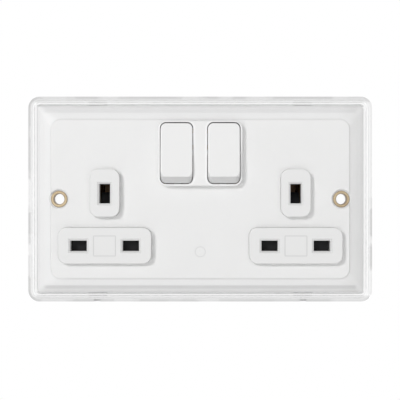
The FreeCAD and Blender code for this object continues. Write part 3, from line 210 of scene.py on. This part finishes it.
class Finish:
    """The nodes that give one material, or the surroundings, their look."""

    def __init__(self, tree):
        self.tree = tree

    def node(self, kind, settings, sockets):
        made = self.tree.nodes.new(kind)
        for name, value in settings.items():
            setattr(made, name, value)
        for name, value in sockets.items():
            self.feed(made.inputs[name], value)
        return made

    def feed(self, socket, value):
        if isinstance(value, Varying):
            value = value.socket
        if isinstance(value, bpy.types.NodeSocket):
            self.tree.links.new(value, socket)
        else:
            socket.default_value = value

    def sum(self, operation, first, second):
        made = self.node("ShaderNodeMath", {"operation": operation}, {0: first, 1: second})
        return Varying(self, made.outputs[0])

    def between(self, amount, low, high):
        settings = {"data_type": "RGBA", "blend_type": "MIX"}
        made = self.node("ShaderNodeMix", settings, {"Factor": amount, 6: low, 7: high})
        return made.outputs[2]

    def largest(self, first, second):
        return self.sum("MAXIMUM", first, second)

    def axes(self):
        made = self.node("ShaderNodeSeparateXYZ", {}, {0: self.place()})
        return [Varying(self, made.outputs[axis]) for axis in "XYZ"]

    def size_of(self, value):
        return self.sum("ABSOLUTE", value, 0.0)

    def near(self, distance, width):
        """One where the distance is nought, fading to nought half the width away."""
        return self.spread(self.size_of(distance), width / 2, width / 4, 0.0, 1.0)

    def outside_of(self, half_across, half_up, corner, centre=(0.0, 0.0)):
        """Distance outwards from a rounded rectangle, on both halves of the plate's front."""
        across, _, up = self.axes()
        aside = self.size_of(self.size_of(across) - centre[0])
        past_across = aside - (half_across - corner)
        past_up = self.size_of(up - centre[1]) - (half_up - corner)
        round_part = self.sum(
            "SQRT",
            self.sum("POWER", self.largest(past_across, 0.0), 2.0)
            + self.sum("POWER", self.largest(past_up, 0.0), 2.0),
            0.0,
        )
        straight_part = self.sum("MINIMUM", self.largest(past_across, past_up), 0.0)
        return round_part + straight_part - corner

    def place(self):
        return self.node("ShaderNodeTexCoord", {}, {}).outputs["Object"]

    def noise(self, scale, detail=2.0, roughness=0.5, vector=None):
        sockets = {
            "Vector": vector or self.place(),
            "Scale": scale,
            "Detail": detail,
            "Roughness": roughness,
        }
        return Varying(self, self.node("ShaderNodeTexNoise", {}, sockets).outputs["Fac"])

    def stretched(self, scale):
        return self.node("ShaderNodeMapping", {}, {"Vector": self.place(), "Scale": scale}).outputs[0]

    def spread(self, value, low, high, start, end):
        sockets = {"Value": value, "From Min": low, "From Max": high, "To Min": start, "To Max": end}
        return Varying(self, self.node("ShaderNodeMapRange", {}, sockets).outputs["Result"])

    def edge_wear(self, radius):
        """One on sharp edges and nought on flats, from how much a rounded normal leans."""
        bent = self.node("ShaderNodeBevel", {"samples": 4}, {"Radius": radius}).outputs[0]
        flat = self.node("ShaderNodeNewGeometry", {}, {}).outputs["Normal"]
        sockets = {0: bent, 1: flat}
        lean = self.node("ShaderNodeVectorMath", {"operation": "DOT_PRODUCT"}, sockets).outputs["Value"]
        return self.spread(Varying(self, lean), 0.995, 0.8, 0.0, 1.0)

    def bump(self, height, distance, strength=1.0):
        sockets = {"Height": height, "Distance": distance, "Strength": strength}
        return self.node("ShaderNodeBump", {}, sockets).outputs["Normal"]


def new_finish(name, constants):
    """A material with its Principled shader; constants are the sockets that stay the same."""
    material = bpy.data.materials.new(name)
    material.use_nodes = True
    finish = Finish(material.node_tree)
    shader = material.node_tree.nodes["Principled BSDF"]
    for socket, value in constants.items():
        shader.inputs[socket].default_value = value
    return material, finish, shader


def moulded_plastic(name, colour, shade, roughness, grain_depth, constants, edges=None):
    """Moulded plastic: a faint cloudiness, a fine spark-eroded grain and slow flow waves."""
    material, finish, shader = new_finish(name, constants)
    cloud = finish.noise(45.0, detail=3.0)
    grain = finish.noise(5200.0, detail=1.0)
    flow = finish.noise(60.0, detail=2.0)
    body = finish.between(cloud, (*colour, 1.0), (*shade, 1.0))
    rise = grain * grain_depth + flow * (grain_depth * 2.0)
    # The edges function may add painted light and shade to the colour, as well as bumps.
    if edges:
        body, rise = edges(finish, body, rise)
    finish.feed(shader.inputs["Base Color"], body)
    finish.feed(shader.inputs["Roughness"], roughness + 0.08 * (finish.noise(300.0) - 0.5))
    finish.feed(shader.inputs["Normal"], finish.bump(rise, 1.0, 0.6))
    return material


def plateau_step_and_painted_light(finish, body, rise):
    """The plateau's crisp step as a bump, with painted light and shade: paler slopes except on the
    right, a painted highlight round each rocker well, and painted shade along the base's edge, in the
    gate ring and in a soft fold across the top and bottom slopes.
    """
    beyond = finish.outside_of(PLATEAU_ACROSS, PLATEAU_UP, PLATEAU_CORNER)
    step = finish.spread(beyond, -0.0002, 0.0003, PLATEAU_RISE, 0.0)
    # Painted shade: a thin dark line along the base's outer edge.
    past_base = finish.outside_of(BASE_ACROSS, BASE_UP, BASE_CORNER)
    base_edge_shade = finish.spread(past_base, -BASE_EDGE_SHADE_WIDTH, 0.0, 0.0, 1.0)
    # Painted shade: a darker ring in the gate mark's groove.
    gate_ring_shade = finish.near(finish.outside_of(GATE_RADIUS, GATE_RADIUS, GATE_RADIUS, GATE_PLACE), GROOVE_SHADE_WIDTH)
    across, _, up = finish.axes()
    # Painted light: the slopes round the plateau are painted paler, but not the right one.
    painted_slope_light = finish.spread(beyond, 0.0, 0.0006, 0.0, 1.0)
    painted_slope_light = painted_slope_light * finish.spread(across, 0.059, 0.066, 1.0, 0.0)
    # Painted shade: a soft dark band across the top and bottom slopes, stronger at the bottom and
    # stopping short of the sides.
    fold_shade = finish.near(finish.size_of(up) - FOLD_SHADE_UP, FOLD_SHADE_WIDTH)
    fold_shade = fold_shade * finish.spread(up, 0.03, -0.03, 0.2, 0.42)
    fold_shade = fold_shade * finish.spread(finish.size_of(across), FOLD_SHADE_END, FOLD_SHADE_END + FOLD_SHADE_FADE, 1.0, 0.0)
    # Painted highlight: a pale band just outside each rocker well.
    past_well = finish.outside_of(WELL_ACROSS, WELL_UP, WELL_CORNER, WELL_PLACE)
    well_highlight = finish.near(past_well - WELL_HIGHLIGHT_WIDTH / 2, WELL_HIGHLIGHT_WIDTH)
    pale = finish.between(finish.largest(painted_slope_light, well_highlight), body, (0.94, 0.94, 0.94, 1.0))
    # Painted shade from the edge line, the gate ring and the fold, mixed in towards 0.52 grey.
    painted_shade = finish.largest(finish.largest(base_edge_shade, 0.32 * gate_ring_shade), fold_shade)
    with_painted_shade = finish.between(painted_shade, pale, (0.52, 0.52, 0.52, 1.0))
    return with_painted_shade, rise + step


def panel_frame_shade(finish, body, rise):
    """Painted shade: a darker square line in the shallow groove between the two lower openings of each
    socket.
    """
    past_panel = finish.outside_of(PANEL_ACROSS, PANEL_UP, PANEL_CORNER, PANEL_PLACE)
    # Painted shade along the groove's line.
    frame = finish.near(past_panel, GROOVE_SHADE_WIDTH)
    return finish.between(0.3 * frame, body, (0.4, 0.4, 0.4, 1.0)), rise


def rocker_foot_shade(finish, body, rise):
    """Painted shade: a rocker's bevelled foot, which faces down, is painted a shade greyer than its
    face.
    """
    foot = finish.spread(finish.axes()[2], FOOT_SHADE_TOP, FOOT_SHADE_TOP - FOOT_SHADE_FADE, 0.0, 1.0)
    return finish.between(foot, body, (0.72, 0.72, 0.72, 1.0)), rise


def clear_plastic():
    """Polished clear sheet: its sloped rim bends the light, and its flat face hardly shows. The rim's
    grey, darker at the top and bottom, its grey streaks, the dark seam line and the broken grey line
    along its outer edge are painted shade.
    """
    constants = {"Transmission Weight": 1.0, "IOR": 1.5, "Specular IOR Level": 0.35}
    material, finish, shader = new_finish("clear_plastic", constants)
    across, _, up = finish.axes()
    rim_side = finish.spread(finish.size_of(across), RIM_ACROSS, RIM_ACROSS + RIM_FADE, 0.0, 1.0)
    rim_end = finish.spread(finish.size_of(up), RIM_UP, RIM_UP + RIM_FADE, 0.0, 1.0)
    rim = finish.largest(rim_side, rim_end)
    glance = finish.node("ShaderNodeLayerWeight", {}, {"Blend": 0.2}).outputs["Facing"]
    face = 0.05 + 0.5 * Varying(finish, glance)
    # Painted shade: a dark line along the cover's inner wall, stronger at the top and bottom; it also
    # makes the sheet less clear there.
    at_end = finish.spread(finish.size_of(up), SEAM_UP - 0.001, SEAM_UP - 0.0005, 0.0, 1.0)
    past_seam = finish.outside_of(SEAM_ACROSS, SEAM_UP, SEAM_CORNER)
    seam_shade = finish.near(past_seam, GROOVE_SHADE_WIDTH) * (0.2 + 0.5 * at_end)
    body = finish.largest(face + rim, seam_shade)
    finish.feed(shader.inputs["Alpha"], finish.sum("MINIMUM", body, RIM_BODY))
    # Painted shade: a broken grey line along the cover's outer edge.
    past_cover = finish.outside_of(COVER_ACROSS, COVER_UP, COVER_CORNER)
    edge_line_shade = finish.spread(past_cover, SKIN_START, SKIN_END, 0.0, 1.0)
    runs = finish.noise(70.0, detail=0.0)
    broken = finish.spread(runs, 0.46, 0.5, 0.05, 1.0)
    # Painted shade: grey streaks across the rim.
    streak = finish.noise(1.0, detail=3.0, vector=finish.stretched((60.0, 60.0, 900.0)))
    # Painted shade: the rim is coloured grey, darker at the top and bottom than at the sides.
    rim_tint_and_shade = finish.between(rim_end, (0.87, 0.87, 0.87, 1.0), (0.69, 0.69, 0.69, 1.0))
    streaked_shade = finish.between(0.2 * streak * rim, rim_tint_and_shade, (0.6, 0.6, 0.6, 1.0))
    lined = finish.between(seam_shade, streaked_shade, (0.2, 0.2, 0.2, 1.0))
    skinned = finish.between(edge_line_shade * broken, lined, (0.5, 0.5, 0.5, 1.0))
    finish.feed(shader.inputs["Base Color"], skinned)
    marks = finish.noise(38.0, detail=4.0)
    finish.feed(shader.inputs["Roughness"], 0.01 + 0.03 * marks)
    finish.feed(shader.inputs["Normal"], finish.bump(finish.noise(26.0), 0.00002, 0.5))
    return material


def stamped_metal(name, colour, dull, roughness, stretch, wear):
    """Sheet metal: drawn streaks, patchy tarnish and brighter worn edges."""
    material, finish, shader = new_finish(name, {"Metallic": 1.0})
    streak = finish.noise(1.0, detail=4.0, vector=finish.stretched(stretch))
    patch = finish.noise(160.0, detail=4.0, roughness=0.6)
    tarnish = finish.spread(patch + 0.35 * streak, 0.45, 0.9, 0.0, 1.0)
    body = finish.between(tarnish, (*colour, 1.0), (*dull, 1.0))
    edge = finish.edge_wear(0.0002)
    bright = tuple(min(1.0, part * 1.15 + 0.03) for part in colour)
    finish.feed(shader.inputs["Base Color"], finish.between(edge * wear, body, (*bright, 1.0)))
    finish.feed(shader.inputs["Roughness"], roughness + 0.16 * tarnish + 0.1 * (streak - 0.5))
    rise = streak * 0.000006 + patch * 0.000008
    finish.feed(shader.inputs["Normal"], finish.bump(rise, 1.0, 0.6))
    return material


def eyelet_brass(stretch):
    """Turned brass, with painted shade darkening it towards the bore and at its outer rim."""
    material = stamped_metal(
        "eyelet_brass", (0.56, 0.46, 0.3), (0.4, 0.31, 0.2), 0.3, stretch, 0.5
    )
    finish = Finish(material.node_tree)
    shader = material.node_tree.nodes["Principled BSDF"]
    past_rim = finish.outside_of(EYELET_RADIUS, EYELET_RADIUS, EYELET_RADIUS, EYELET_PLACE)
    past_bore = past_rim + (EYELET_RADIUS - EYELET_BORE)
    # Painted shade: dark brown towards the bore and along the outer rim.
    bore_shade = finish.spread(past_bore, 0.0005, 0.0001, 0.0, 0.75)
    rim = finish.spread(past_rim, -0.0005, -0.0001, 0.0, 0.55)
    plain = shader.inputs["Base Color"].links[0].from_socket
    with_painted_shade = finish.between(finish.largest(bore_shade, rim), plain, (0.24, 0.17, 0.12, 1.0))
    finish.feed(shader.inputs["Base Color"], with_painted_shade)
    return material


def make_finishes():
    """One material for each of the record's slots."""
    gloss = {"IOR": 1.5, "Coat Weight": 0.0}
    brushed = (400.0, 9000.0, 400.0)
    drawn = (3000.0, 3000.0, 3000.0)
    return {
        "clear_plastic": clear_plastic(),
        "white_plastic": moulded_plastic(
            "white_plastic", (0.88, 0.88, 0.875), (0.865, 0.865, 0.863), 0.5, 0.0000016, gloss,
            plateau_step_and_painted_light,
        ),
        # Painted shade: the pin blocks' white is a darker copy of white_plastic.
        "pad_white_shaded": moulded_plastic(
            "pad_white_shaded", (0.848, 0.848, 0.843), (0.833, 0.833, 0.831), 0.3, 0.0000016, gloss,
            panel_frame_shade,
        ),
        "rocker_white": moulded_plastic(
            "rocker_white", (0.9, 0.9, 0.895), (0.885, 0.885, 0.883), 0.24, 0.0000012, gloss,
            rocker_foot_shade,
        ),
        "housing_plastic": moulded_plastic(
            "housing_plastic", (0.76, 0.76, 0.735), (0.72, 0.72, 0.7), 0.5, 0.000006, gloss,
        ),
        "dark_plastic": moulded_plastic(
            "dark_plastic", (0.01, 0.01, 0.011), (0.014, 0.014, 0.015), 0.6, 0.000004,
            {"Specular IOR Level": 0.2},
        ),
        "nylon": moulded_plastic(
            "nylon", (0.78, 0.76, 0.69), (0.74, 0.72, 0.64), 0.38, 0.000002, gloss,
        ),
        "brass": stamped_metal("brass", (0.76, 0.58, 0.28), (0.52, 0.38, 0.19), 0.27, brushed, 0.6),
        "eyelet_brass": eyelet_brass(drawn),
        "bronze": stamped_metal("bronze", (0.3, 0.2, 0.11), (0.17, 0.11, 0.07), 0.4, brushed, 0.5),
        "silver": stamped_metal("silver", (0.86, 0.85, 0.83), (0.7, 0.68, 0.65), 0.22, drawn, 0.4),
        "plated_steel": stamped_metal(
            "plated_steel", (0.72, 0.73, 0.74), (0.58, 0.58, 0.56), 0.26, drawn, 0.5,
        ),
        "spring_steel": stamped_metal(
            "spring_steel", (0.55, 0.55, 0.57), (0.42, 0.42, 0.43), 0.24, drawn, 0.4,
        ),
    }


def dress_nodes(frame, finishes):
    """Every node takes its slot's finish, and the blocks with the pin holes a darker copy of the
    moulding's white, which is painted shade.
    """
    for name, node in frame["nodes"].items():
        finish_name = node.material_slots[0].material.name.split(".")[0]
        if name.startswith("pin_block"):
            finish_name = "pad_white_shaded"
        for slot in node.material_slots:
            slot.material = finishes[finish_name]


def add_to(whole, single):
    """Moves the shape of one form into another."""
    loose = bpy.data.meshes.new("loose")
    single.to_mesh(loose)
    single.free()
    whole.from_mesh(loose)
    bpy.data.meshes.remove(loose)


def new_piece(name, form, finish, smooth=False):
    """An object at the origin with the form's shape and one material."""
    mesh = bpy.data.meshes.new(name)
    form.to_mesh(mesh)
    form.free()
    for face in mesh.polygons:
        face.use_smooth = smooth
    mesh.materials.append(finish)
    piece = bpy.data.objects.new(name, mesh)
    bpy.context.collection.objects.link(piece)
    return piece


def turned_shank(form, radius, tip, top):
    """A threaded shank along the Z axis, spun from its cut profile and closed at both ends."""
    root = radius * THREAD_ROOT
    outline = [(0.0, tip), (radius * SHANK_TIP, tip), (root, tip + THREAD_PITCH * 0.5)]
    level = tip + THREAD_PITCH
    while level + THREAD_PITCH < top:
        outline.append((radius, level))
        outline.append((root, level + THREAD_PITCH * 0.5))
        level += THREAD_PITCH
    outline += [(radius, top), (0.0, top)]
    points = [form.verts.new((across, 0.0, height)) for across, height in outline]
    edges = [form.edges.new(pair) for pair in zip(points, points[1:])]
    bmesh.ops.spin(
        form, geom=points + edges, cent=(0.0, 0.0, 0.0), axis=(0.0, 0.0, 1.0),
        dvec=(0.0, 0.0, 0.0), angle=math.tau, steps=SCREW_SIDES, use_merge=True,
    )


def slotted_head(form, radius, height):
    """A cheese head with its driver slot, standing on the XY plane."""
    floor = height - SLOT_DEPTH

    def level_faces(least_across):
        found = []
        for face in form.faces:
            centre = face.calc_center_median()
            if abs(centre.z - floor) < TOUCHING and abs(centre.x) >= least_across:
                found.append(face)
        return found

    def raise_faces(faces, rise):
        raised = bmesh.ops.extrude_face_region(form, geom=faces)["geom"]
        corners = [part for part in raised if isinstance(part, bmesh.types.BMVert)]
        bmesh.ops.translate(form, verts=corners, vec=(0.0, 0.0, rise))

    bmesh.ops.create_circle(form, cap_ends=True, segments=SCREW_SIDES, radius=radius)
    raise_faces(list(form.faces), floor)
    for side in (-1.0, 1.0):
        cutting = set(level_faces(0.0))
        for face in level_faces(0.0):
            cutting.update(face.edges, face.verts)
        bmesh.ops.bisect_plane(
            form, geom=list(cutting), plane_co=(side * SLOT_WIDTH / 2, 0.0, 0.0),
            plane_no=(1.0, 0.0, 0.0),
        )
    raise_faces(level_faces(SLOT_WIDTH / 2), SLOT_DEPTH)

    def on_rim(corner):
        return corner.co.z > height - TOUCHING and corner.co.xy.length > radius * 0.98

    rim = [edge for edge in form.edges if all(on_rim(corner) for corner in edge.verts)]
    bmesh.ops.bevel(
        form, geom=rim, offset=HEAD_ROUND, segments=2, profile=0.5, affect="EDGES", material=-1
    )


def build_screws(node_name, places, shank_width, head_width, head_height, finish):
    """The screws of one CAD node, with cut threads and slotted heads that face the rear."""
    low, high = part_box(node_name)
    form = bmesh.new()
    for across, up, lean in places:
        single = bmesh.new()
        slotted_head(single, head_width / 2, head_height)
        turned_shank(single, shank_width / 2, low.y - high.y + head_height, head_height / 4)
        bmesh.ops.remove_doubles(single, verts=single.verts, dist=TOUCHING)
        bmesh.ops.recalc_face_normals(single, faces=single.faces)
        turn = Matrix.Rotation(-math.pi / 2, 4, "X") @ Matrix.Rotation(lean, 4, "Z")
        bmesh.ops.transform(single, matrix=turn, verts=single.verts)
        bmesh.ops.translate(single, verts=single.verts, vec=(across, high.y - head_height, up))
        add_to(form, single)
    piece = new_piece(node_name + "_turned", form, finish)
    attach(piece, "socket")
    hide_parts(node_name)


def build_all_screws(finish):
    """The four clamp screws of the terminals and the four that hold the rear housing on."""
    for node_name, lean in CLAMP_SCREW_LEANS.items():
        low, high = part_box(node_name)
        middle = (low + high) / 2
        places = [(middle.x, middle.z, lean)]
        build_screws(node_name, places, CLAMP_SHANK, CLAMP_HEAD, CLAMP_HEAD_HEIGHT, finish)
    build_screws(
        "housing_screws", HOUSING_SCREW_PLACES, HOUSING_SHANK, HOUSING_HEAD,
        HOUSING_HEAD_HEIGHT, finish,
    )


def wound_spring(form, size):
    """A compression spring standing on the XY plane, with one closed turn at each end."""
    wire = size.wire
    made = bmesh.ops.create_circle(form, cap_ends=True, segments=WIRE_SIDES, radius=wire / 2)
    upright = Matrix.Rotation(math.pi / 2, 3, "X")
    bmesh.ops.rotate(form, verts=made["verts"], cent=(0.0, 0.0, 0.0), matrix=upright)
    bmesh.ops.translate(form, verts=made["verts"], vec=(size.radius, 0.0, wire / 2))
    end = [*form.verts, *form.edges, *form.faces]
    open_part = (size.turns - 2.0, size.length - 3.0 * wire)
    for run, rise in ((1.0, wire), open_part, (1.0, wire)):
        steps = round(run * STEPS_A_TURN)
        end = bmesh.ops.spin(
            form, geom=end, cent=(0.0, 0.0, 0.0), axis=(0.0, 0.0, 1.0),
            dvec=(0.0, 0.0, rise / steps), angle=run * math.tau, steps=steps,
        )["geom_last"]


def build_springs(node_name, body, feet, direction, size, finish):
    """The springs of one CAD node, each standing on its foot and riding with its body."""
    whole = bmesh.new()
    turn = direction.to_track_quat("Z", "X").to_matrix().to_4x4()
    for foot in feet:
        form = bmesh.new()
        wound_spring(form, size)
        bmesh.ops.recalc_face_normals(form, faces=form.faces)
        bmesh.ops.transform(form, matrix=Matrix.Translation(foot) @ turn, verts=form.verts)
        add_to(whole, form)
    piece = new_piece(node_name + "_wound", whole, finish, smooth=True)
    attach(piece, body)
    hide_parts(node_name)
    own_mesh(piece)


def build_all_springs(finish):
    """A spring under each shutter and one behind each contact plunger."""
    for word, side in (("left", -1.0), ("right", 1.0)):
        foot = Vector((side * SOCKET_PLACE, SHUTTER_SPRING_DEPTH, SHUTTER_SPRING_FOOT))
        build_springs(
            f"shutter_spring_{word}", "socket", [foot],
            Vector((0.0, 0.0, 1.0)), SHUTTER_SPRING, finish,
        )
        feet = []
        for way in (-1.0, 1.0):
            across = side * ROCKER_PLACE + way * PLUNGER_PLACE
            pivot = Vector((across, *ROCKER_PIVOT))
            feet.append(pivot + PLUNGER_SPRING_START * PLUNGER_DIRECTION)
        build_springs(
            f"plunger_springs_{word}", f"rocker_{word}", feet,
            PLUNGER_DIRECTION, PLUNGER_SPRING, finish,
        )


def build_surroundings():
    """White behind the plate, bright in front, pale at the sides and darker between them."""
    world = bpy.data.worlds.new("studio")
    bpy.context.scene.world = world
    world.use_nodes = True
    finish = Finish(world.node_tree)
    sky = world.node_tree.nodes["Background"]
    sky.inputs["Color"].default_value = (1.0, 1.0, 1.0, 1.0)
    direction = finish.node("ShaderNodeTexCoord", {}, {}).outputs["Generated"]

    def facing(towards):
        sockets = {0: direction, 1: Vector(towards).normalized()}
        made = finish.node("ShaderNodeVectorMath", {"operation": "DOT_PRODUCT"}, sockets)
        return Varying(finish, made.outputs["Value"])

    towards = facing((0.0, -1.0, 0.0))
    front = finish.spread(towards, 0.5, 0.92, 0.0, FRONT_GLOW - DIAGONAL_GLOW)
    beside = finish.spread(towards, 0.5, 0.1, 0.0, SIDE_GLOW - DIAGONAL_GLOW)
    behind = finish.spread(towards, -0.93, -0.977, 0.0, 1.0)
    left = finish.spread(facing((-1.0, -0.2, 0.1)), 0.3, 0.95, 0.0, LEFT_SHADE)
    above = finish.spread(facing((0.0, -0.2, 1.0)), 0.3, 0.95, 0.0, ABOVE_SHADE)
    right = finish.spread(facing((1.0, -0.2, 0.0)), 0.3, 0.95, 0.0, RIGHT_SHADE)
    below = finish.spread(facing((0.0, -0.2, -1.0)), 0.1, 0.8, 0.0, BELOW_GLOW)
    glow = DIAGONAL_GLOW + front + beside + below - above - left - right
    finish.feed(sky.inputs["Strength"], glow + behind * (1.0 - glow))


def build_key_light():
    """One soft box to the upper left that gives the pads and rockers their faint shadows."""
    data = bpy.data.lights.new("key", "AREA")
    data.shape = "SQUARE"
    data.size = KEY_SIZE
    data.energy = KEY_POWER
    key = bpy.data.objects.new("key", data)
    key.location = KEY_PLACE
    key.rotation_euler = (-key.location).to_track_quat("-Z", "Y").to_euler()
    bpy.context.collection.objects.link(key)


def build_floor():
    """A plain pale table top, well below the plate."""
    material, finish, shader = new_finish("floor_paint", {"Roughness": 0.8})
    fleck = finish.noise(30.0, detail=3.0)
    paint = finish.between(fleck, (0.8, 0.8, 0.8, 1.0), (0.77, 0.77, 0.77, 1.0))
    finish.feed(shader.inputs["Base Color"], paint)
    form = bmesh.new()
    bmesh.ops.create_circle(form, cap_ends=True, segments=FLOOR_SIDES, radius=FLOOR_RADIUS)
    bmesh.ops.translate(form, verts=form.verts, vec=(0.0, 0.0, FLOOR_LEVEL))
    floor = new_piece("floor", form, material)


def build_camera():
    """Straight in front of the plate, at the distance the photograph was taken from."""
    data = bpy.data.cameras.new("camera")
    data.sensor_width = SENSOR_WIDTH
    data.lens = SENSOR_WIDTH * CAMERA_DISTANCE / PICTURE_WIDTH
    data.clip_start = 0.02
    data.clip_end = 20.0
    camera = bpy.data.objects.new("camera", data)
    bpy.context.collection.objects.link(camera)
    camera.location = AIM + Vector((0.0, -CAMERA_DISTANCE, 0.0))
    camera.rotation_euler = (math.pi / 2, 0.0, 0.0)
    bpy.context.scene.camera = camera


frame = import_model()
build_camera()
finishes = make_finishes()
dress_nodes(frame, finishes)
build_all_screws(finishes["plated_steel"])
build_all_springs(finishes["spring_steel"])
build_surroundings()
build_key_light()
build_floor()
bpy.context.scene.view_settings.view_transform = "Standard"
